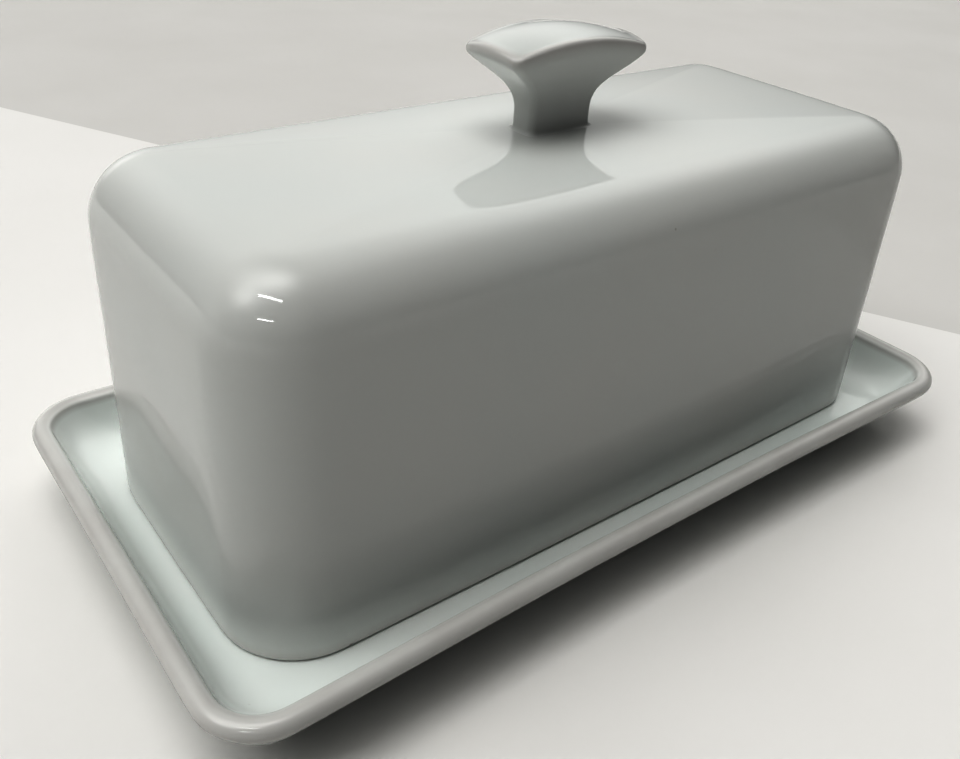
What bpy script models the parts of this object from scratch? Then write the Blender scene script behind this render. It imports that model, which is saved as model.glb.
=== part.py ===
"""Butter dish: a shallow footed tray, a loose box-shaped cover and the T-shaped knob on the cover.

X runs along the dish, Y across it, Z up. The origin is on the table under the middle of the tray.
"""

import math

import bmesh
import bpy
from mathutils import Vector
from mathutils.geometry import interpolate_bezier

MM = 0.001
JOINT_GAP = 0.3 * MM

# Tray: outer size near its corners, how far each side is drawn in at its middle, and the floor.
TRAY_LENGTH = 190.0 * MM
TRAY_WIDTH = 101.5 * MM
TRAY_CORNER = 12.2 * MM
TRAY_END_WAIST = 0.13 * MM
TRAY_SIDE_WAIST = 1.36 * MM
FLOOR_HEIGHT = 7.5 * MM
BASE_THICKNESS = 4.2 * MM
WELL_MARGIN = 11.0 * MM
WELL_CORNER = 14.9 * MM

# Rim of the tray: a round edge, a short top that slants inwards and a crest where the wall falls.
RIM_RADIUS = 1.95 * MM
RIM_HEIGHT = FLOOR_HEIGHT + 7.2 * MM
RIM_SLANT = math.radians(25)
RIM_TOP_RUN = 0.6 * MM
RIM_UNDERCUT = math.radians(35)
CREST_RADIUS = 1.0 * MM
CREST_FALL = math.radians(74)

# Reach of the curves that join the crest to the floor, and the rim's edge to the underside.
WALL_REACH = 4.2 * MM
WALL_SWEEP = 4.4 * MM
FLANK_REACH = 4.6 * MM
FLANK_SWEEP = 6.8 * MM
FLANK_MARGIN = 13.0 * MM

# Foot ring under the tray.
FOOT_MARGIN = 15.6 * MM
FOOT_WIDTH = 5.0 * MM
FOOT_TAPER = 0.6 * MM
FOOT_ROUND = 0.7 * MM
FOOT_CORNER = 12.0 * MM

# Cover: size at its lip, lean of the walls, roundings, and the bulge of the walls and the top.
COVER_LENGTH = 164.8 * MM
COVER_WIDTH = 71.9 * MM
COVER_HEIGHT = 68.2 * MM
COVER_CORNER = 14.7 * MM
COVER_SHOULDER = 11.9 * MM
COVER_LEAN = math.tan(0.022)
COVER_END_BULGE = 0.36 * MM
COVER_SIDE_BULGE = 0.43 * MM
COVER_DOME = 1.0 * MM
COVER_WALL = 4.0 * MM
COVER_TOP_FLAT = 0.25
LIP_ROUND = 0.5 * MM

# Knob: sizes at the stem and at the corners of the top, and the curves that swell the top.
STEM_HALF_LENGTH = 7.5 * MM
STEM_HALF_DEPTH = 3.0 * MM
STEM_HEIGHT = 3.5 * MM
STEM_BULGE = 0.2 * MM
TOP_HALF_LENGTH = 15.9 * MM
TOP_HALF_DEPTH = 7.6 * MM
TOP_BULGE = 0.95 * MM
KNOB_CORNER = 1.2 * MM
KNOB_EDGE_HEIGHT = 15.6 * MM
KNOB_EDGE_ROUND = 0.9 * MM
KNOB_LIP = 1.9 * MM
KNOB_ARCH = 2.3 * MM
KNOB_CROWN = 0.9 * MM
SLIP_FILLET = 0.4 * MM

# Flare of the knob: how far up the stem holds its width, and how far in the overhang starts.
FLARE_RISE = 5.1 * MM
FLARE_INSET_LENGTH = 5.1 * MM
FLARE_INSET_DEPTH = 1.3 * MM
FLARE_INSET_HEIGHT = 4.0 * MM

# Porcelain: one white body and clear glaze for every piece.
PORCELAIN_COLOUR = (0.80, 0.81, 0.78, 1.0)
GLAZE_ROUGHNESS = 0.12

# Fineness of the outlines and of the curved stretches of the sections.
CORNER_STEPS = 5
LONG_SIDE_STEPS = 6
SHORT_SIDE_STEPS = 3
EDGE_STEPS = 7
CREST_STEPS = 2
WALL_STEPS = 4
FLANK_STEPS = 3
SHOULDER_STEPS = 6
FLARE_STEPS = 6
SHARP_ANGLE = math.radians(40)
BULGE_SHARPNESS = 8


def blend(start, end, share):
    """The value that lies the given share of the way from start to end."""
    return start + (end - start) * share


def section_arc(centre, radius, start, end, steps):
    """Points of a section on an arc that starts under its outer side and ends over its inner side."""
    angles = [blend(start, end, step / steps) for step in range(steps + 1)]
    return [(centre[0] - radius * math.cos(a), centre[1] + radius * math.sin(a)) for a in angles]


def along_slope(start, distance, slope):
    """The point a distance further in along a slope that falls inwards."""
    return start[0] + distance * math.cos(slope), start[1] - distance * math.sin(slope)


def curve_between(start, start_handle, end_handle, end, points):
    """Points on a cubic curve, without its two ends."""
    handles = [Vector(point) for point in (start, start_handle, end_handle, end)]
    return [tuple(point) for point in interpolate_bezier(*handles, points + 2)[1:-1]]


def bulged(point, half_length, half_width, end_bulge, side_bulge):
    """The point moved outwards, most at the middle of its side and not at all at the corners."""
    along, across = abs(point[0]) / half_length, abs(point[1]) / half_width
    move_x = end_bulge * (1 - across**2) * along**BULGE_SHARPNESS
    move_y = side_bulge * (1 - along**2) * across**BULGE_SHARPNESS
    return point[0] + move_x * math.copysign(1, point[0]), point[1] + move_y * math.copysign(1, point[1])


def outline(half_length, half_width, corner, end_bulge, side_bulge):
    """Rounded rectangle, counter-clockwise, whose sides bulge outwards, or inwards if negative."""
    points = []
    signs = ((1, 1), (-1, 1), (-1, -1), (1, -1))
    for quarter, (sign_x, sign_y) in enumerate(signs):
        next_x, next_y = signs[(quarter + 1) % 4]
        centre_x, centre_y = half_length - corner, half_width - corner
        for step in range(CORNER_STEPS + 1):
            angle = math.pi / 2 * (quarter + step / CORNER_STEPS)
            arm_x, arm_y = corner * math.cos(angle), corner * math.sin(angle)
            points.append((sign_x * centre_x + arm_x, sign_y * centre_y + arm_y))
        side_steps = LONG_SIDE_STEPS if sign_x != next_x else SHORT_SIDE_STEPS
        for step in range(1, side_steps):
            x = blend(sign_x, next_x, step / side_steps) * centre_x + arm_x
            y = blend(sign_y, next_y, step / side_steps) * centre_y + arm_y
            points.append((x, y))
    return [bulged(point, half_length, half_width, end_bulge, side_bulge) for point in points]


def loft(name, rings, closed_start):
    """A mesh through rings that run counter-clockwise and follow the surface up and over."""
    shape = bmesh.new()
    loops = [[shape.verts.new(point) for point in ring] for ring in rings]
    for lower, upper in zip(loops, loops[1:]):
        for index in range(len(lower)):
            after = (index + 1) % len(lower)
            shape.faces.new((lower[index], lower[after], upper[after], upper[index]))
    if closed_start:
        shape.faces.new(reversed(loops[0]))
    shape.faces.new(loops[-1])
    mesh = bpy.data.meshes.new(name)
    shape.to_mesh(mesh)
    shape.free()
    mesh.shade_smooth()
    mesh.set_sharp_from_angle(angle=SHARP_ANGLE)
    return mesh


def porcelain(name):
    """A glossy white glaze."""
    material = bpy.data.materials.new(name)
    material.use_nodes = True
    shader = material.node_tree.nodes["Principled BSDF"]
    shader.inputs["Base Color"].default_value = PORCELAIN_COLOUR
    shader.inputs["Roughness"].default_value = GLAZE_ROUGHNESS
    shader.inputs["Metallic"].default_value = 0.0
    return material


def add_piece(name, mesh, collection, height=0.0, parent=None):
    """The named object of one piece, on the dish's upright centre line, with its own material."""
    piece = bpy.data.objects.new(name, mesh)
    mesh.materials.append(porcelain(name + "_porcelain"))
    piece.parent = parent
    piece.location = (0.0, 0.0, height)
    collection.objects.link(piece)
    return piece


def tray_corner(inset):
    """Corner radius of the tray's outline at a distance in from its outer edge."""
    rim_width = 2 * RIM_RADIUS
    if inset < rim_width:
        return TRAY_CORNER - inset
    inside = min(1.0, (inset - rim_width) / (WELL_MARGIN - rim_width))
    return blend(TRAY_CORNER - rim_width, WELL_CORNER, inside)


def tray_ring(inset, height, corner):
    """One level outline of the tray, a distance in from its outer edge."""
    half_length, half_width = TRAY_LENGTH / 2 - inset, TRAY_WIDTH / 2 - inset
    flat = outline(half_length, half_width, corner, -TRAY_END_WAIST, -TRAY_SIDE_WAIST)
    return [(x, y, height) for x, y in flat]


def foot_section():
    """Foot ring from its inner root, down and round to its outer root, as insets and heights."""
    root = FLOOR_HEIGHT - BASE_THICKNESS
    outer, inner = FOOT_MARGIN, FOOT_MARGIN + FOOT_WIDTH
    outer_tip, inner_tip = outer + FOOT_TAPER, inner - FOOT_TAPER
    inner_side = [(inner, root), (inner_tip, FOOT_ROUND), (inner_tip - FOOT_ROUND, 0.0)]
    outer_side = [(outer_tip + FOOT_ROUND, 0.0), (outer_tip, FOOT_ROUND), (outer, root)]
    return inner_side + outer_side


def wall_section():
    """The tray's wall from the underside, out round the rim and down to the floor of the well."""
    edge_centre = (RIM_RADIUS, RIM_HEIGHT)
    edge_end = math.pi / 2 + RIM_SLANT
    edge = section_arc(edge_centre, RIM_RADIUS, -RIM_UNDERCUT, edge_end, EDGE_STEPS)
    flank_start = (FLANK_MARGIN, FLOOR_HEIGHT - BASE_THICKNESS)
    flank_handle = (flank_start[0] - FLANK_SWEEP, flank_start[1])
    under_edge = along_slope(edge[0], FLANK_REACH, math.pi / 2 - RIM_UNDERCUT)
    flank = curve_between(flank_start, flank_handle, under_edge, edge[0], FLANK_STEPS)
    top_end = along_slope(edge[-1], RIM_TOP_RUN, RIM_SLANT)
    crest_centre = along_slope(top_end, CREST_RADIUS, math.pi / 2 + RIM_SLANT)
    crest = section_arc(crest_centre, CREST_RADIUS, edge_end, math.pi / 2 + CREST_FALL, CREST_STEPS)
    wall_handle = along_slope(crest[-1], WALL_REACH, CREST_FALL)
    floor_edge = (WELL_MARGIN, FLOOR_HEIGHT)
    floor_handle = (WELL_MARGIN - WALL_SWEEP, FLOOR_HEIGHT)
    wall = curve_between(crest[-1], wall_handle, floor_handle, floor_edge, WALL_STEPS)
    return [flank_start, *flank, *edge, *crest, *wall, floor_edge]


def make_tray(collection):
    """Shallow tray: flat floor, concave wall, thick rounded rim and a foot ring."""
    rings = [tray_ring(inset, height, FOOT_CORNER) for inset, height in foot_section()]
    rings += [tray_ring(inset, height, tray_corner(inset)) for inset, height in wall_section()]
    return add_piece("tray", loft("tray", rings, closed_start=True), collection)


def cover_ring(inset, height, share=1.0):
    """One level outline of the cover, a distance in from its lip, or a smaller copy of it."""
    half_length, half_width = COVER_LENGTH / 2 - inset, COVER_WIDTH / 2 - inset
    flat = outline(half_length, half_width, COVER_CORNER - inset, COVER_END_BULGE, COVER_SIDE_BULGE)
    return [(x * share, y * share, height) for x, y in flat]


def cover_dome(share):
    """Height of the cover's top over its lip on the ring that is this share of the top's size."""
    return COVER_HEIGHT + COVER_DOME * (1 - share**2)


def make_cover(collection):
    """Deep hollow cover, open below, that stands on the floor of the tray."""
    wall_top = COVER_HEIGHT - COVER_SHOULDER
    lean = COVER_LEAN * wall_top
    rings = [cover_ring(0.0, JOINT_GAP), cover_ring(lean / 2, wall_top / 2)]
    for step in range(SHOULDER_STEPS + 1):
        angle = math.pi / 2 * step / SHOULDER_STEPS
        inset = lean + COVER_SHOULDER * (1 - math.cos(angle))
        rings.append(cover_ring(inset, wall_top + COVER_SHOULDER * math.sin(angle)))
    for share in (0.8, 0.5, COVER_TOP_FLAT):
        rings.append(cover_ring(lean + COVER_SHOULDER, cover_dome(share), share))
    cover = add_piece("cover", loft("cover", rings, closed_start=False), collection, FLOOR_HEIGHT)
    shell = cover.modifiers.new("wall", "SOLIDIFY")
    shell.thickness = COVER_WALL
    shell.offset = -1.0
    shell.use_even_offset = True
    lip = cover.modifiers.new("lip", "BEVEL")
    lip.width = LIP_ROUND
    lip.segments = 2
    lip.limit_method = "ANGLE"
    lip.angle_limit = math.radians(60)
    return cover


def knob_ring(half_length, half_depth, height, swell, share=1.0):
    """One outline of the knob, or a smaller copy of it; swell 1 bulges and arches it like the top."""
    bulge = blend(STEM_BULGE, TOP_BULGE, swell)
    flat = outline(half_length, half_depth, KNOB_CORNER, bulge, bulge)
    ring = []
    for x, y in flat:
        along, across = x * share / half_length, y * share / half_depth
        arch = KNOB_ARCH * max(0.0, 1 - along**2)
        crown = KNOB_CROWN * max(0.0, 1 - across**2)
        ring.append((x * share, y * share, height + swell * (arch + crown)))
    return ring


def make_knob(collection, cover):
    """Upright stem that sweeps out to a wide pillow-shaped top, with a finger hold at each end."""
    stem = (STEM_HALF_LENGTH, STEM_HALF_DEPTH)
    top = (TOP_HALF_LENGTH, TOP_HALF_DEPTH)
    lip_height = KNOB_EDGE_HEIGHT - KNOB_LIP
    overhang = (
        TOP_HALF_LENGTH - FLARE_INSET_LENGTH,
        TOP_HALF_DEPTH - FLARE_INSET_DEPTH,
        lip_height - FLARE_INSET_HEIGHT,
    )
    foot = (STEM_HALF_LENGTH + SLIP_FILLET, STEM_HALF_DEPTH + SLIP_FILLET)
    rings = [
        knob_ring(*foot, JOINT_GAP, swell=0.0),
        knob_ring(*stem, JOINT_GAP + SLIP_FILLET, swell=0.0),
        knob_ring(*stem, STEM_HEIGHT, swell=0.0),
    ]
    stem_end = (*stem, STEM_HEIGHT)
    stem_handle = (*stem, STEM_HEIGHT + FLARE_RISE)
    for length, depth, height in curve_between(stem_end, stem_handle, overhang, (*top, lip_height), FLARE_STEPS):
        swell = (length - STEM_HALF_LENGTH) / (TOP_HALF_LENGTH - STEM_HALF_LENGTH)
        rings.append(knob_ring(length, depth, height, swell))
    inner = (TOP_HALF_LENGTH - KNOB_EDGE_ROUND, TOP_HALF_DEPTH - KNOB_EDGE_ROUND)
    rings.append(knob_ring(*top, lip_height, swell=1.0))
    rings.append(knob_ring(*top, KNOB_EDGE_HEIGHT - KNOB_EDGE_ROUND, swell=1.0))
    for share in (1.0, 0.7, 0.35):
        rings.append(knob_ring(*inner, KNOB_EDGE_HEIGHT, 1.0, share))
    return add_piece("knob", loft("knob", rings, closed_start=True), collection, cover_dome(COVER_TOP_FLAT), cover)


def main():
    for leftover in list(bpy.data.objects):
        bpy.data.objects.remove(leftover, do_unlink=True)
    dish = bpy.data.collections.new("butter_dish")
    bpy.context.scene.collection.children.link(dish)
    make_tray(dish)
    cover = make_cover(dish)
    make_knob(dish, cover)


main()
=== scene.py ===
"""Looks of the white porcelain butter dish: fine surfaces, glaze, table, light and camera.

Each piece is a loft through level rings, made from the same sizes as its CAD part and smoothed by
subdivision. X runs along the dish, Y across it, Z up; lengths are in metres.
"""

import math

import bmesh
import bpy
from mathutils import Matrix, Vector, noise
from mathutils.geometry import interpolate_bezier


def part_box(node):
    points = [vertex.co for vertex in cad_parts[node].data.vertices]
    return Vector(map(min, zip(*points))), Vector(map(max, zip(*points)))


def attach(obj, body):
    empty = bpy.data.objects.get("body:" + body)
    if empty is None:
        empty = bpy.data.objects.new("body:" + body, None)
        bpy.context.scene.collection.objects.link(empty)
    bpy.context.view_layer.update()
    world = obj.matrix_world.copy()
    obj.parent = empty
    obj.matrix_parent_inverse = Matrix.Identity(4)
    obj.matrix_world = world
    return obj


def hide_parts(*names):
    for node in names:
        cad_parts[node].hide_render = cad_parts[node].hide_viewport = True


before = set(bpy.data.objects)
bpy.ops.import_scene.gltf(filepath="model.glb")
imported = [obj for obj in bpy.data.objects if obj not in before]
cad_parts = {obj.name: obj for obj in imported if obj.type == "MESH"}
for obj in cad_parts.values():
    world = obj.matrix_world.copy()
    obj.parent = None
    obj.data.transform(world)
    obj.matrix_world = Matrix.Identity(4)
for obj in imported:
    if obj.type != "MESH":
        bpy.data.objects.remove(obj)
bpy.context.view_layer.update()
MM = 0.001

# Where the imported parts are, and the level of the tray's floor under the cover.
TRAY_LOW, TRAY_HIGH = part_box("tray")
COVER_LOW, COVER_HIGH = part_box("cover")
DOWN = Vector((0, 0, -1))
TRAY_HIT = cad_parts["tray"].ray_cast(Vector((0, 0, COVER_LOW.z)), DOWN)
FLOOR = TRAY_HIT[1].z
COVER_TOP = COVER_HIGH.z

# Tray sizes.
TRAY_END_WAIST = 0.13 * MM
TRAY_SIDE_WAIST = 1.36 * MM
# At its widest, near the corners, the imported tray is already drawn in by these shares.
END_WAIST_SHARE = 0.5
SIDE_WAIST_SHARE = 0.25
TRAY_HALF_LENGTH = (TRAY_HIGH.x - TRAY_LOW.x) / 2 + TRAY_END_WAIST * END_WAIST_SHARE
TRAY_HALF_WIDTH = (TRAY_HIGH.y - TRAY_LOW.y) / 2 + TRAY_SIDE_WAIST * SIDE_WAIST_SHARE
TRAY_CORNER = 12.2 * MM
WELL_MARGIN = 11.0 * MM
WELL_CORNER = 14.9 * MM
BASE_THICKNESS = 4.2 * MM
RIM_RADIUS = 1.95 * MM
RIM_HEIGHT = TRAY_HIGH.z - RIM_RADIUS
RIM_SLANT = math.radians(25)
RIM_TOP_RUN = 0.6 * MM
RIM_UNDERCUT = math.radians(35)
CREST_RADIUS = 1.0 * MM
CREST_FALL = math.radians(74)
WALL_REACH = 4.2 * MM
WALL_SWEEP = 4.4 * MM
FLANK_REACH = 4.6 * MM
FLANK_SWEEP = 6.8 * MM
FLANK_MARGIN = 13.0 * MM
FOOT_MARGIN = 15.6 * MM
FOOT_WIDTH = 5.0 * MM
FOOT_TAPER = 0.6 * MM
FOOT_ROUND = 0.7 * MM
FOOT_CORNER = 12.0 * MM
FOOT_SOFTENING = 0.2 * MM
FOOT_SOFT_HEIGHT = 0.15 * MM
FOOT_FILLET_RUN = 0.6 * MM
FOOT_FILLET_EDGE = 0.1 * MM
FOOT_FILLET_DROP = 0.25 * MM
RIM_WAVE = 0.25 * MM
RIM_WAVE_LENGTH = 45 * MM
RIM_WAVE_SEED = 3.1
# How much thin-glaze colour the rim's crest takes; that colour is partly painted shade.
CREST_THIN_AND_SHADE = 0.8

# Cover sizes.
COVER_END_BULGE = 0.36 * MM
COVER_SIDE_BULGE = 0.43 * MM
COVER_HALF_LENGTH = COVER_HIGH.x - COVER_END_BULGE
COVER_HALF_WIDTH = COVER_HIGH.y - COVER_SIDE_BULGE
COVER_CORNER = 14.7 * MM
COVER_SHOULDER = 11.9 * MM
COVER_DOME = 1.0 * MM
COVER_WALL = 4.0 * MM
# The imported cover's top reaches this share of the dome's rise.
PACKED_DOME_SHARE = 0.94
COVER_HEIGHT = COVER_TOP - FLOOR - COVER_DOME * PACKED_DOME_SHARE
COVER_LEAN = math.tan(0.022)
LIP_ROUND = 0.7 * MM
LIP_HEIGHT = 0.04 * MM
LIP_WARP_REACH = 12 * MM
LIP_WARP_ALONG = 0.28 * MM
LIP_WARP_ACROSS = 0.08 * MM
# How much thin-glaze colour the cover's shoulder takes; that colour is partly painted shade.
SHOULDER_THIN_AND_SHADE = 0.2

# Knob sizes.
STEM_HALF_LENGTH = 7.5 * MM
STEM_HALF_DEPTH = 3.0 * MM
STEM_HEIGHT = 3.5 * MM
STEM_BULGE = 0.2 * MM
TOP_HALF_LENGTH = 15.9 * MM
TOP_HALF_DEPTH = 7.6 * MM
TOP_BULGE = 0.95 * MM
KNOB_CORNER = 1.3 * MM
KNOB_EDGE_HEIGHT = 15.6 * MM
KNOB_EDGE_ROUND = 0.9 * MM
KNOB_LIP = 1.9 * MM
KNOB_ARCH = 2.3 * MM
KNOB_CROWN = 0.9 * MM
SLIP_FILLET = 0.8 * MM
SLIP_DEPTH = 0.3 * MM
SLIP_EDGE_DEPTH = 0.04 * MM
# How much thin-glaze colour the knob's lip takes; that colour is partly painted shade.
LIP_THIN_AND_SHADE = 0.3
FLARE_RISE = 5.1 * MM
FLARE_INSET_LENGTH = 5.1 * MM
FLARE_INSET_DEPTH = 1.3 * MM
FLARE_INSET_HEIGHT = 4.0 * MM

# Colours and gloss. A scale is how often a pattern repeats in a metre.
COVER_GLAZE = (0.645, 0.652, 0.637, 1)
COVER_POOLED = (0.635, 0.652, 0.641, 1)
# The tray is the same porcelain as the cover, painted lighter: painted light on the tray.
TRAY_GLAZE_PAINTED_LIGHTER = (0.768, 0.786, 0.772, 1)
TRAY_POOLED_PAINTED_LIGHTER = (0.752, 0.786, 0.770, 1)
# Colour of thin glaze on edges, rims and the shoulder, darkened further as painted shade.
THIN_GLAZE_AND_SHADE = (0.58, 0.574, 0.56, 1)
IRON_SPECK = (0.16, 0.13, 0.10, 1)
BARE_BODY = (0.72, 0.70, 0.65, 1)
BARE_SHADE = (0.62, 0.60, 0.55, 1)
GLAZE_ROUGHNESS = 0.045
BARE_ROUGHNESS = 0.62
GLAZE_IOR = 1.48
POOL_SCALE = 26
PATCH_SCALE = 90
POLISH_SCALE = 60
GRIT_TINT_SCALE = 900
SPECK_SCALE = 62.0
SPECK_CORE = 0.012
SPECK_EDGE = 0.028
SPECK_RARITY = 0.62
SPECK_STRENGTH = 0.8
WAVE_SCALE = 34
WAVE_DEPTH = 0.045 * MM
PEEL_SCALE = 420
PEEL_DEPTH = 0.0016 * MM
GRIT_SCALE = 2600
GRIT_DEPTH = 0.02 * MM
PINHOLE_DEPTH = 0.02 * MM
TABLE_GRAIN_SCALE = 14.0
TABLE_ROUGHNESS = 0.55
TABLE_SPECULAR = 0.25
TABLE_WHITE = (0.75, 0.742, 0.732, 1)
TABLE_SHADE = (0.735, 0.727, 0.715, 1)
GROUND_GREY = (0.63, 0.622, 0.61, 1)
GROUND_SHADE = (0.61, 0.602, 0.588, 1)

# Light. Each soft light has an azimuth from +X towards +Y, an elevation, both in degrees, a
# tightness and a strength.
SOFT_LIGHTS = {
    "ceiling": (0, 90, 24, 3.60),
    "ceiling_behind": (140, 68, 14, 1.00),
    "window_top": (158, 66, 11, 2.75),
    "window": (172, 48, 40, 3.20),
    "side_wall_top": (14, 46, 22, 1.45),
    "side_wall": (40, 34, 16, 1.20),
    "back_wall_top": (90, 30, 16, 0.60),
    "back_wall_side": (60, 12, 20, 0.60),
    "back_wall": (90, 10, 30, 1.15),
    "back_wall_left": (150, 10, 20, 0.45),
}
LIGHT_TINT = (1.0, 0.998, 0.986)
ROOM_SHADE = (0.095, 0.095, 0.093)
SEEN_WALL = (0.62, 0.61, 0.58, 1)

# Lamps: azimuth and elevation in degrees, width and height in metres, and power in watts.
LAMP_DISTANCE = 2.0
LAMP_AIM = Vector((0, 0, 0.05))
STRIP_LAMPS = {
    "lamp_high": (-146, 62, 0.90, 0.10, 6.0),
    "lamp_low": (-142, 33, 0.60, 0.07, 3.0),
}

# Camera: where it is, how far it turns from +Y towards +X, tilts down and rolls, and its lens.
CAMERA_PLACE = Vector((-0.1198, -0.1309, FLOOR + 0.1235))
CAMERA_TURN = math.radians(39.23)
CAMERA_TILT = math.radians(32.49)
CAMERA_ROLL = math.radians(4.03)
CAMERA_LENS = 35.01
CAMERA_SENSOR = 36
CAMERA_CLIP = 0.01

# Table: the turn of its far edge, that edge's distance from the dish, and how far the sheets run.
EDGE_TURN = math.radians(-61.7)
EDGE_DISTANCE = 0.118
TABLE_REACH = 6
FLOOR_REACH = 8
FLOOR_DROP = 1 * MM
VIEW_GAMMA = 0.56

# Fineness of the cages.
CORNER_STEPS = 8
LONG_SIDE_STEPS = 16
SHORT_SIDE_STEPS = 8
BULGE_SHARPNESS = 8
EDGE_STEPS = 10
FLANK_RINGS = 7
CREST_STEPS = 4
WALL_RINGS = 9
SHOULDER_STEPS = 10
INNER_SHOULDER_STEPS = 8
SLIP_STEPS = 4
FLARE_RINGS = 11
KNOB_EDGE_STEPS = 3
SMOOTHING = 2
SEED_STEP = 0.37


def blend(start, end, share):
    """The value at a share of the way from start to end."""
    return start + (end - start) * share


def section_arc(centre, radius, start, end, steps):
    """Points of a section on an arc, from under its outer side to over its inner side."""
    angles = [blend(start, end, step / steps) for step in range(steps + 1)]
    return [(centre[0] - radius * math.cos(a), centre[1] + radius * math.sin(a)) for a in angles]


def along_slope(start, distance, slope):
    """The point a distance further in along a slope that falls inwards."""
    return start[0] + distance * math.cos(slope), start[1] - distance * math.sin(slope)


def curve_between(start, start_handle, end_handle, end, points):
    """Points on a cubic curve, without its two ends."""
    handles = [Vector(point) for point in (start, start_handle, end_handle, end)]
    return [tuple(point) for point in interpolate_bezier(*handles, points + 2)[1:-1]]


def bulged(point, half_length, half_width, end_bulge, side_bulge):
    """The point moved outwards, most at the middle of its side and not at all at the corners."""
    along, across = abs(point[0]) / half_length, abs(point[1]) / half_width
    move_x = end_bulge * (1 - across**2) * along**BULGE_SHARPNESS
    move_y = side_bulge * (1 - along**2) * across**BULGE_SHARPNESS
    x = point[0] + move_x * math.copysign(1, point[0])
    y = point[1] + move_y * math.copysign(1, point[1])
    return x, y


def outline(half_length, half_width, corner, end_bulge, side_bulge):
    """Rounded rectangle, counter-clockwise, whose sides bulge outwards, or inwards if negative."""
    points = []
    signs = ((1, 1), (-1, 1), (-1, -1), (1, -1))
    for quarter, (sign_x, sign_y) in enumerate(signs):
        next_x, next_y = signs[(quarter + 1) % 4]
        centre_x, centre_y = half_length - corner, half_width - corner
        for step in range(CORNER_STEPS + 1):
            angle = math.pi / 2 * (quarter + step / CORNER_STEPS)
            arm_x, arm_y = corner * math.cos(angle), corner * math.sin(angle)
            points.append((sign_x * centre_x + arm_x, sign_y * centre_y + arm_y))
        side_steps = LONG_SIDE_STEPS if sign_x != next_x else SHORT_SIDE_STEPS
        for step in range(1, side_steps):
            x = blend(sign_x, next_x, step / side_steps) * centre_x + arm_x
            y = blend(sign_y, next_y, step / side_steps) * centre_y + arm_y
            points.append((x, y))
    return [bulged(point, half_length, half_width, end_bulge, side_bulge) for point in points]


def loft(name, rings, thin_and_shade, bare):
    """A closed smooth piece through level rings, with how thin or bare each ring's glaze is; the
    thin share also carries painted shade.
    """
    shape = bmesh.new()
    thin_and_shade_layer = shape.verts.layers.float.new("thin_glaze_and_shade")
    bare_layer = shape.verts.layers.float.new("bare_body")
    loops = []
    for ring, thin_and_shade_value, bare_value in zip(rings, thin_and_shade, bare):
        loop = [shape.verts.new(point) for point in ring]
        for vert in loop:
            vert[thin_and_shade_layer] = thin_and_shade_value
            vert[bare_layer] = bare_value
        loops.append(loop)
    for lower, upper in zip(loops, loops[1:]):
        for index in range(len(lower)):
            after = (index + 1) % len(lower)
            shape.faces.new((lower[index], lower[after], upper[after], upper[index]))
    shape.faces.new(reversed(loops[0]))
    shape.faces.new(loops[-1])
    mesh = bpy.data.meshes.new(name)
    shape.to_mesh(mesh)
    shape.free()
    mesh.shade_smooth()
    piece = bpy.data.objects.new(name, mesh)
    bpy.context.scene.collection.objects.link(piece)
    smooth = piece.modifiers.new("smooth", "SUBSURF")
    smooth.levels = SMOOTHING
    smooth.render_levels = SMOOTHING
    return piece


def uneven(point, amount, size, seed):
    """A slow unevenness of cast and fired porcelain, as a height."""
    place = Vector(point) / size + Vector((seed, 0, 0))
    return amount * noise.noise(place)


def tray_corner(inset):
    """Corner radius: parallel to the outline under the rim, and wider from there to the well."""
    rim_width = 2 * RIM_RADIUS
    if inset < rim_width:
        return TRAY_CORNER - inset
    inside = min(1.0, (inset - rim_width) / (WELL_MARGIN - rim_width))
    return blend(TRAY_CORNER - rim_width, WELL_CORNER, inside)


def tray_ring(inset, height, corner, share=1.0):
    """A ring of the tray, whose rim waves slightly up and down."""
    half_length, half_width = TRAY_HALF_LENGTH - inset, TRAY_HALF_WIDTH - inset
    above_floor = max(0.0, (height - FLOOR) / (TRAY_HIGH.z - FLOOR))
    ring = []
    for x, y in outline(half_length, half_width, corner, -TRAY_END_WAIST, -TRAY_SIDE_WAIST):
        lift = uneven((x, y, 0), RIM_WAVE, RIM_WAVE_LENGTH, RIM_WAVE_SEED) * above_floor
        ring.append((x * share, y * share, height + lift))
    return ring


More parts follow.
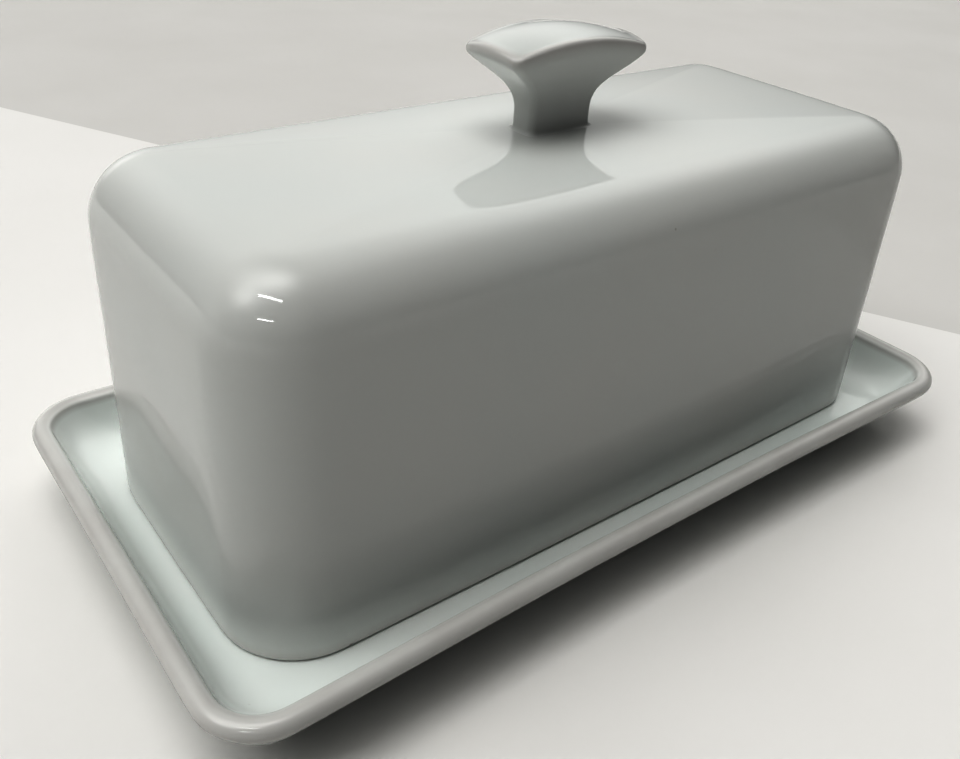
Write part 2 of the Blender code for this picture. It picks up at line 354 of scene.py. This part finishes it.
def make_tray():
    """From under the floor: the foot ring, the flank, the rim, the well's wall and its floor."""
    root = FLOOR - BASE_THICKNESS
    outer, inner = FOOT_MARGIN, FOOT_MARGIN + FOOT_WIDTH
    outer_tip, inner_tip = outer + FOOT_TAPER, inner - FOOT_TAPER
    rings, thin_and_shade, bare = [], [], []

    def add(inset, height, corner, share=1.0, thin_and_shade_value=0.0, bare_value=0.0):
        rings.append(tray_ring(inset, height, corner, share))
        thin_and_shade.append(thin_and_shade_value)
        bare.append(bare_value)

    for share in (0.1, 0.5, 0.9):
        add(inner, root, FOOT_CORNER, share)
    add(inner + FOOT_FILLET_RUN, root, FOOT_CORNER)
    add(inner + FOOT_FILLET_EDGE, root - FOOT_FILLET_DROP, FOOT_CORNER)
    add(inner_tip, FOOT_ROUND, FOOT_CORNER, thin_and_shade_value=1)
    add(inner_tip - FOOT_SOFTENING, FOOT_SOFT_HEIGHT, FOOT_CORNER, bare_value=1)
    add(inner_tip - FOOT_ROUND, 0.0, FOOT_CORNER, bare_value=1)
    add((inner_tip + outer_tip) / 2, 0.0, FOOT_CORNER, bare_value=1)
    add(outer_tip + FOOT_ROUND, 0.0, FOOT_CORNER, bare_value=1)
    add(outer_tip + FOOT_SOFTENING, FOOT_SOFT_HEIGHT, FOOT_CORNER, bare_value=1)
    add(outer_tip, FOOT_ROUND, FOOT_CORNER, thin_and_shade_value=1)
    add(outer - FOOT_FILLET_EDGE, root - FOOT_FILLET_DROP, FOOT_CORNER)
    add(outer - FOOT_FILLET_RUN, root, FOOT_CORNER)

    edge_centre = (RIM_RADIUS, RIM_HEIGHT)
    edge_end = math.pi / 2 + RIM_SLANT
    edge = section_arc(edge_centre, RIM_RADIUS, -RIM_UNDERCUT, edge_end, EDGE_STEPS)
    flank_start = (FLANK_MARGIN, root)
    flank_handle = (flank_start[0] - FLANK_SWEEP, flank_start[1])
    under_edge = along_slope(edge[0], FLANK_REACH, math.pi / 2 - RIM_UNDERCUT)
    flank = curve_between(flank_start, flank_handle, under_edge, edge[0], FLANK_RINGS)
    top_end = along_slope(edge[-1], RIM_TOP_RUN, RIM_SLANT)
    crest_centre = along_slope(top_end, CREST_RADIUS, math.pi / 2 + RIM_SLANT)
    crest = section_arc(crest_centre, CREST_RADIUS, edge_end, math.pi / 2 + CREST_FALL, CREST_STEPS)
    wall_handle = along_slope(crest[-1], WALL_REACH, CREST_FALL)
    floor_edge = (WELL_MARGIN, FLOOR)
    floor_handle = (WELL_MARGIN - WALL_SWEEP, FLOOR)
    wall = curve_between(crest[-1], wall_handle, floor_handle, floor_edge, WALL_RINGS)
    for inset, height in [flank_start, *flank]:
        add(inset, height, tray_corner(inset))
    for inset, height in edge:
        add(inset, height, tray_corner(inset), thin_and_shade_value=1)
    for inset, height in crest:
        add(inset, height, tray_corner(inset), thin_and_shade_value=CREST_THIN_AND_SHADE)
    for inset, height in [*wall, floor_edge]:
        add(inset, height, tray_corner(inset))
    for share in (0.96, 0.9, 0.7, 0.4, 0.1):
        add(WELL_MARGIN, FLOOR, WELL_CORNER, share)
    return loft("porcelain_tray", rings, thin_and_shade, bare)


def cover_ring(inset, height, share=1.0):
    """A ring of the cover, whose lip lifts off the floor a hair towards the middle of its sides."""
    half_length, half_width = COVER_HALF_LENGTH - inset, COVER_HALF_WIDTH - inset
    corner = COVER_CORNER - inset
    near_lip = max(0.0, 1 - height / LIP_WARP_REACH)
    ring = []
    for x, y in outline(half_length, half_width, corner, COVER_END_BULGE, COVER_SIDE_BULGE):
        along, across = x / half_length, y / half_width
        gap = LIP_WARP_ALONG * (1 - along**2) + LIP_WARP_ACROSS * (1 - across**2)
        ring.append((x * share, y * share, FLOOR + height + near_lip * gap))
    return ring


def cover_dome(share):
    """Height of the top's shallow dome, at a share of the way out from its middle."""
    return COVER_HEIGHT + COVER_DOME * (1 - share**2)


def make_cover():
    """A hollow shell: over the inside, down to the lip, out and up, and over the outside."""
    wall_top = COVER_HEIGHT - COVER_SHOULDER
    lean = COVER_LEAN * wall_top
    inner_round = COVER_SHOULDER - COVER_WALL
    rings, thin_and_shade, bare = [], [], []

    def add(inset, height, share=1.0, thin_and_shade_value=0.0, bare_value=0.0):
        rings.append(cover_ring(inset, height, share))
        thin_and_shade.append(thin_and_shade_value)
        bare.append(bare_value)

    for share in (0.1, 0.4, 0.7, 0.9):
        add(lean + COVER_SHOULDER, cover_dome(share) - COVER_WALL, share)
    for step in range(INNER_SHOULDER_STEPS, -1, -1):
        angle = math.pi / 2 * step / INNER_SHOULDER_STEPS
        add(
            lean + COVER_SHOULDER - inner_round * math.cos(angle),
            wall_top + inner_round * math.sin(angle),
        )
    for share in (0.75, 0.5, 0.25, 0.08):
        add(COVER_WALL + lean * share, wall_top * share)
    add(COVER_WALL, LIP_HEIGHT + LIP_ROUND * 1.4, thin_and_shade_value=1)
    add(COVER_WALL - LIP_ROUND * 0.25, LIP_HEIGHT + LIP_ROUND * 0.3, bare_value=1)
    add(COVER_WALL - LIP_ROUND, LIP_HEIGHT, bare_value=1)
    add(COVER_WALL / 2, LIP_HEIGHT, bare_value=1)
    add(LIP_ROUND, LIP_HEIGHT, bare_value=1)
    add(LIP_ROUND * 0.25, LIP_HEIGHT + LIP_ROUND * 0.25, thin_and_shade_value=1)
    add(0.0, LIP_HEIGHT + LIP_ROUND, thin_and_shade_value=1)
    for share in (0.05, 0.1, 0.25, 0.4, 0.55, 0.7, 0.85):
        add(lean * share, wall_top * share)
    for step in range(SHOULDER_STEPS + 1):
        angle = math.pi / 2 * step / SHOULDER_STEPS
        add(
            lean + COVER_SHOULDER * (1 - math.cos(angle)),
            wall_top + COVER_SHOULDER * math.sin(angle),
            thin_and_shade_value=SHOULDER_THIN_AND_SHADE * math.sin(2 * angle),
        )
    for share in (0.9, 0.75, 0.5, 0.25, 0.1):
        add(lean + COVER_SHOULDER, cover_dome(share), share)
    return loft("porcelain_cover", rings, thin_and_shade, bare)


def knob_ring(half_length, half_depth, height, swell, share=1.0):
    """A ring of the knob, bulged and arched more the further it has swelled from stem to top."""
    bulge = blend(STEM_BULGE, TOP_BULGE, swell)
    ring = []
    for x, y in outline(half_length, half_depth, KNOB_CORNER, bulge, bulge):
        along, across = x * share / half_length, y * share / half_depth
        arch = KNOB_ARCH * max(0.0, 1 - along**2)
        crown = KNOB_CROWN * max(0.0, 1 - across**2)
        ring.append((x * share, y * share, COVER_TOP + height + swell * (arch + crown)))
    return ring


def make_knob():
    """From the cover's top: the slip fillet, the stem, the flare, the lip and the arched top."""
    rings, thin_and_shade, bare = [], [], []

    def add(length, depth, height, swell, share=1.0, thin_and_shade_value=0.0):
        rings.append(knob_ring(length, depth, height, swell, share))
        thin_and_shade.append(thin_and_shade_value)
        bare.append(0.0)

    stem = (STEM_HALF_LENGTH, STEM_HALF_DEPTH)
    add(stem[0] + SLIP_FILLET * 1.5, stem[1] + SLIP_FILLET * 1.5, -SLIP_DEPTH, 0.0)
    add(stem[0] + SLIP_FILLET * 1.4, stem[1] + SLIP_FILLET * 1.4, -SLIP_EDGE_DEPTH, 0.0)
    for step in range(SLIP_STEPS + 1):
        angle = math.pi / 2 * step / SLIP_STEPS
        reach = SLIP_FILLET * (1 - math.sin(angle))
        add(stem[0] + reach, stem[1] + reach, SLIP_FILLET * (1 - math.cos(angle)), 0.0)
    add(*stem, STEM_HEIGHT * 0.6, 0.0)
    add(*stem, STEM_HEIGHT, 0.0)
    lip_height = KNOB_EDGE_HEIGHT - KNOB_LIP
    overhang = (
        TOP_HALF_LENGTH - FLARE_INSET_LENGTH,
        TOP_HALF_DEPTH - FLARE_INSET_DEPTH,
        lip_height - FLARE_INSET_HEIGHT,
    )
    top = (TOP_HALF_LENGTH, TOP_HALF_DEPTH)
    stem_end = (*stem, STEM_HEIGHT)
    stem_handle = (*stem, STEM_HEIGHT + FLARE_RISE)
    flare = curve_between(stem_end, stem_handle, overhang, (*top, lip_height), FLARE_RINGS)
    for length, depth, height in flare:
        swell = (length - STEM_HALF_LENGTH) / (TOP_HALF_LENGTH - STEM_HALF_LENGTH)
        add(length, depth, height, swell)
    add(*top, lip_height, 1.0, thin_and_shade_value=LIP_THIN_AND_SHADE)
    edge_start = KNOB_EDGE_HEIGHT - KNOB_EDGE_ROUND
    add(*top, edge_start, 1.0, thin_and_shade_value=1)
    for step in range(1, KNOB_EDGE_STEPS + 1):
        angle = math.pi / 2 * step / KNOB_EDGE_STEPS
        inset = KNOB_EDGE_ROUND * (1 - math.cos(angle))
        rise = KNOB_EDGE_ROUND * math.sin(angle)
        add(top[0] - inset, top[1] - inset, edge_start + rise, 1.0, thin_and_shade_value=1)
    inner = (TOP_HALF_LENGTH - KNOB_EDGE_ROUND, TOP_HALF_DEPTH - KNOB_EDGE_ROUND)
    for share in (0.93, 0.8, 0.6, 0.4, 0.2, 0.07):
        add(*inner, KNOB_EDGE_HEIGHT, 1.0, share)
    return loft("porcelain_knob", rings, thin_and_shade, bare)


def add_node(tree, kind, **values):
    """A shader node with its inputs set by name and its other settings by attribute."""
    node = tree.nodes.new(kind)
    for name, value in values.items():
        title = name.replace("_", " ").title()
        if title in node.inputs:
            node.inputs[title].default_value = value
        else:
            setattr(node, name, value)
    return node


def ranged(tree, source, low, high, out_low, out_high):
    """The source value moved from one range into another, and kept inside it."""
    node = add_node(tree, "ShaderNodeMapRange")
    for index, value in enumerate((low, high, out_low, out_high), start=1):
        node.inputs[index].default_value = value
    tree.links.new(source, node.inputs[0])
    return node.outputs[0]


def mixed(tree, share, first, second):
    """A colour between two colours; each is a colour or the output of another node."""
    node = add_node(tree, "ShaderNodeMix", data_type="RGBA")
    sockets = node.inputs[0], node.inputs[6], node.inputs[7]
    for socket, value in zip(sockets, (share, first, second)):
        if isinstance(value, bpy.types.NodeSocket):
            tree.links.new(value, socket)
        else:
            socket.default_value = value
    return node.outputs[2]


def times(tree, first, second):
    """The product of two outputs of nodes."""
    node = add_node(tree, "ShaderNodeMath", operation="MULTIPLY")
    tree.links.new(first, node.inputs[0])
    tree.links.new(second, node.inputs[1])
    return node.outputs[0]


def glaze(name, seed, plain, pooled):
    """White porcelain under a clear glossy glaze: thinner, warmer and darker on edges, that
    darkness partly painted shade, bare where it stood in the kiln, slowly rippled, faintly
    orange-peeled, with a few iron specks and pinholes."""
    material = bpy.data.materials.new(name)
    material.use_nodes = True
    tree = material.node_tree
    links = tree.links
    shader = tree.nodes["Principled BSDF"]
    shader.inputs["IOR"].default_value = GLAZE_IOR
    place = add_node(tree, "ShaderNodeTexCoord").outputs["Object"]
    shift = add_node(tree, "ShaderNodeMapping")
    shift.inputs["Location"].default_value = (seed, seed * 0.7, seed * 1.3)
    links.new(place, shift.inputs["Vector"])
    place = shift.outputs["Vector"]

    def cloud(scale, detail):
        node = add_node(tree, "ShaderNodeTexNoise", scale=scale, detail=detail)
        links.new(place, node.inputs["Vector"])
        return node.outputs["Fac"]

    pooling = ranged(tree, cloud(POOL_SCALE, 3), 0.3, 0.7, 0.0, 1.0)
    body = mixed(tree, pooling, plain, pooled)
    thin_and_shade = add_node(tree, "ShaderNodeAttribute", attribute_name="thin_glaze_and_shade").outputs["Fac"]
    patchy = ranged(tree, cloud(PATCH_SCALE, 3), 0.3, 0.7, 0.8, 1.0)
    # Rings marked thin take the thin-glaze colour: partly real thin glaze, partly painted shade.
    body = mixed(tree, times(tree, thin_and_shade, patchy), body, THIN_GLAZE_AND_SHADE)

    cells = add_node(tree, "ShaderNodeTexVoronoi", feature="F1", scale=SPECK_SCALE)
    links.new(place, cells.inputs["Vector"])
    dot = ranged(tree, cells.outputs["Distance"], SPECK_CORE, SPECK_EDGE, 1.0, 0.0)
    pick = add_node(tree, "ShaderNodeSeparateColor")
    links.new(cells.outputs["Color"], pick.inputs[0])
    chosen = ranged(tree, pick.outputs[0], SPECK_RARITY, 0.9, 0.0, SPECK_STRENGTH)
    speck = times(tree, dot, chosen)
    body = mixed(tree, speck, body, IRON_SPECK)

    bare = add_node(tree, "ShaderNodeAttribute", attribute_name="bare_body").outputs["Fac"]
    bare = ranged(tree, bare, 0.35, 0.75, 0.0, 1.0)
    biscuit = mixed(tree, cloud(GRIT_TINT_SCALE, 3), BARE_BODY, BARE_SHADE)
    body = mixed(tree, bare, body, biscuit)
    links.new(body, shader.inputs["Base Color"])

    smoothest, dullest = GLAZE_ROUGHNESS * 0.7, GLAZE_ROUGHNESS * 1.4
    polish = ranged(tree, cloud(POLISH_SCALE, 4), 0.3, 0.7, smoothest, dullest)
    rough = add_node(tree, "ShaderNodeMix", data_type="FLOAT")
    links.new(bare, rough.inputs[0])
    links.new(polish, rough.inputs[2])
    rough.inputs[3].default_value = BARE_ROUGHNESS
    links.new(rough.outputs[0], shader.inputs["Roughness"])

    normal = None
    for height, depth in (
        (cloud(WAVE_SCALE, 1), WAVE_DEPTH),
        (cloud(PEEL_SCALE, 2), PEEL_DEPTH),
        (times(tree, cloud(GRIT_SCALE, 2), bare), GRIT_DEPTH),
        (dot, -PINHOLE_DEPTH),
    ):
        bump = add_node(tree, "ShaderNodeBump")
        bump.inputs["Strength"].default_value = 1.0
        bump.inputs["Distance"].default_value = depth
        links.new(height, bump.inputs["Height"])
        if normal is not None:
            links.new(normal, bump.inputs["Normal"])
        normal = bump.outputs["Normal"]
    links.new(normal, shader.inputs["Normal"])
    return material


def table_surface(name, colour, shade):
    """Matt pale laminate with a faint grain."""
    material = bpy.data.materials.new(name)
    material.use_nodes = True
    tree = material.node_tree
    shader = tree.nodes["Principled BSDF"]
    shader.inputs["Specular IOR Level"].default_value = TABLE_SPECULAR
    shader.inputs["Roughness"].default_value = TABLE_ROUGHNESS
    place = add_node(tree, "ShaderNodeTexCoord").outputs["Object"]
    grain = add_node(tree, "ShaderNodeTexNoise", scale=TABLE_GRAIN_SCALE, detail=5.0)
    tree.links.new(place, grain.inputs["Vector"])
    tint = mixed(tree, ranged(tree, grain.outputs["Fac"], 0.3, 0.7, 0.0, 1.0), colour, shade)
    tree.links.new(tint, shader.inputs["Base Color"])
    return material


def stage_sheet(name, corners, height, material):
    """A flat level sheet of the surroundings."""
    mesh = bpy.data.meshes.new(name)
    mesh.from_pydata([(x, y, height) for x, y in corners], [], [range(len(corners))])
    mesh.materials.append(material)
    sheet = bpy.data.objects.new(name, mesh)
    bpy.context.scene.collection.objects.link(sheet)


def direction(azimuth, elevation):
    """Unit vector towards an azimuth and an elevation in degrees."""
    turn, rise = math.radians(azimuth), math.radians(elevation)
    return Vector((
        math.cos(turn) * math.cos(rise),
        math.sin(turn) * math.cos(rise),
        math.sin(rise),
    ))


def strip_lamp(name, azimuth, elevation, width, height, power):
    """A narrow lamp far off that shows only as a small hard highlight in the glaze."""
    lamp = bpy.data.lights.new(name, "AREA")
    lamp.shape = "RECTANGLE"
    lamp.size = width
    lamp.size_y = height
    lamp.energy = power
    holder = bpy.data.objects.new(name, lamp)
    bpy.context.scene.collection.objects.link(holder)
    holder.visible_camera = False
    holder.visible_diffuse = False
    towards = direction(azimuth, elevation)
    holder.location = towards * LAMP_DISTANCE + LAMP_AIM
    holder.rotation_mode = "QUATERNION"
    holder.rotation_quaternion = towards.to_track_quat("Z", "Y")


def make_camera():
    """The camera of the photo: close, over the near corner, and slightly rolled."""
    ahead = direction(90 - math.degrees(CAMERA_TURN), -math.degrees(CAMERA_TILT))
    level = ahead.cross(-DOWN).normalized()
    upright = level.cross(ahead)
    side = math.cos(CAMERA_ROLL) * level + math.sin(CAMERA_ROLL) * upright
    top = math.cos(CAMERA_ROLL) * upright - math.sin(CAMERA_ROLL) * level
    lens = bpy.data.cameras.new("camera")
    lens.sensor_width = CAMERA_SENSOR
    lens.lens = CAMERA_LENS
    lens.clip_start = CAMERA_CLIP
    camera = bpy.data.objects.new("camera", lens)
    bpy.context.scene.collection.objects.link(camera)
    place = Matrix((side, top, -ahead)).transposed().to_4x4()
    place.translation = CAMERA_PLACE
    camera.matrix_world = place
    bpy.context.scene.camera = camera


def soft_light(tree, sum_so_far, azimuth, elevation, tightness, strength):
    """Adds soft light from one direction to the world's, like a window or a bright wall."""
    place = add_node(tree, "ShaderNodeTexCoord").outputs["Generated"]
    unit = add_node(tree, "ShaderNodeVectorMath", operation="NORMALIZE")
    tree.links.new(place, unit.inputs[0])
    facing = add_node(tree, "ShaderNodeVectorMath", operation="DOT_PRODUCT")
    facing.inputs[1].default_value = direction(azimuth, elevation)
    tree.links.new(unit.outputs[0], facing.inputs[0])
    front = add_node(tree, "ShaderNodeMath", operation="MAXIMUM")
    tree.links.new(facing.outputs["Value"], front.inputs[0])
    front.inputs[1].default_value = 0.0
    power = add_node(tree, "ShaderNodeMath", operation="POWER")
    tree.links.new(front.outputs[0], power.inputs[0])
    power.inputs[1].default_value = tightness
    light = add_node(tree, "ShaderNodeVectorMath", operation="SCALE")
    light.inputs[0].default_value = [strength * part for part in LIGHT_TINT]
    tree.links.new(power.outputs[0], light.inputs["Scale"])
    total = add_node(tree, "ShaderNodeVectorMath", operation="ADD")
    tree.links.new(light.outputs[0], total.inputs[0])
    tree.links.new(sum_so_far, total.inputs[1])
    return total.outputs[0]


def make_world():
    """A dim room with a bright ceiling, a window to the left and pale walls behind the dish."""
    world = bpy.data.worlds.new("studio")
    bpy.context.scene.world = world
    world.use_nodes = True
    tree = world.node_tree
    shade = add_node(tree, "ShaderNodeCombineXYZ")
    for socket, part in zip(shade.inputs, ROOM_SHADE):
        socket.default_value = part
    total = shade.outputs[0]
    for azimuth, elevation, tightness, strength in SOFT_LIGHTS.values():
        total = soft_light(tree, total, azimuth, elevation, tightness, strength)
    seen_directly = add_node(tree, "ShaderNodeLightPath").outputs["Is Camera Ray"]
    seen = mixed(tree, seen_directly, total, SEEN_WALL)
    tree.links.new(seen, tree.nodes["Background"].inputs["Color"])


make_camera()
makers = (
    (make_tray, "tray", "tray", TRAY_GLAZE_PAINTED_LIGHTER, TRAY_POOLED_PAINTED_LIGHTER),
    (make_cover, "cover", "cover", COVER_GLAZE, COVER_POOLED),
    (make_knob, "cover", "knob", COVER_GLAZE, COVER_POOLED),
)
for number, (maker, body, node, plain, pooled) in enumerate(makers):
    piece = maker()
    piece.data.materials.append(glaze(node + "_glaze", number * SEED_STEP, plain, pooled))
    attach(piece, body)
    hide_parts(node)

edge = Vector((math.cos(EDGE_TURN), math.sin(EDGE_TURN)))
away = Vector((-edge.y, edge.x))
along_edge, past_dish = edge * TABLE_REACH, away * TABLE_REACH
near_edge = away * EDGE_DISTANCE
table_corners = [
    -along_edge - past_dish,
    along_edge - past_dish,
    near_edge + along_edge,
    near_edge - along_edge,
]
floor_corners = [
    (-FLOOR_REACH, -FLOOR_REACH),
    (FLOOR_REACH, -FLOOR_REACH),
    (FLOOR_REACH, FLOOR_REACH),
    (-FLOOR_REACH, FLOOR_REACH),
]
table_look = table_surface("table_top", TABLE_WHITE, TABLE_SHADE)
floor_look = table_surface("floor", GROUND_GREY, GROUND_SHADE)
stage_sheet("table_top", table_corners, 0.0, table_look)
stage_sheet("floor", floor_corners, -FLOOR_DROP, floor_look)

make_world()
view = bpy.context.scene.view_settings
view.view_transform = "Standard"
view.gamma = VIEW_GAMMA
for name, (azimuth, elevation, width, height, power) in STRIP_LAMPS.items():
    strip_lamp(name, azimuth, elevation, width, height, power)
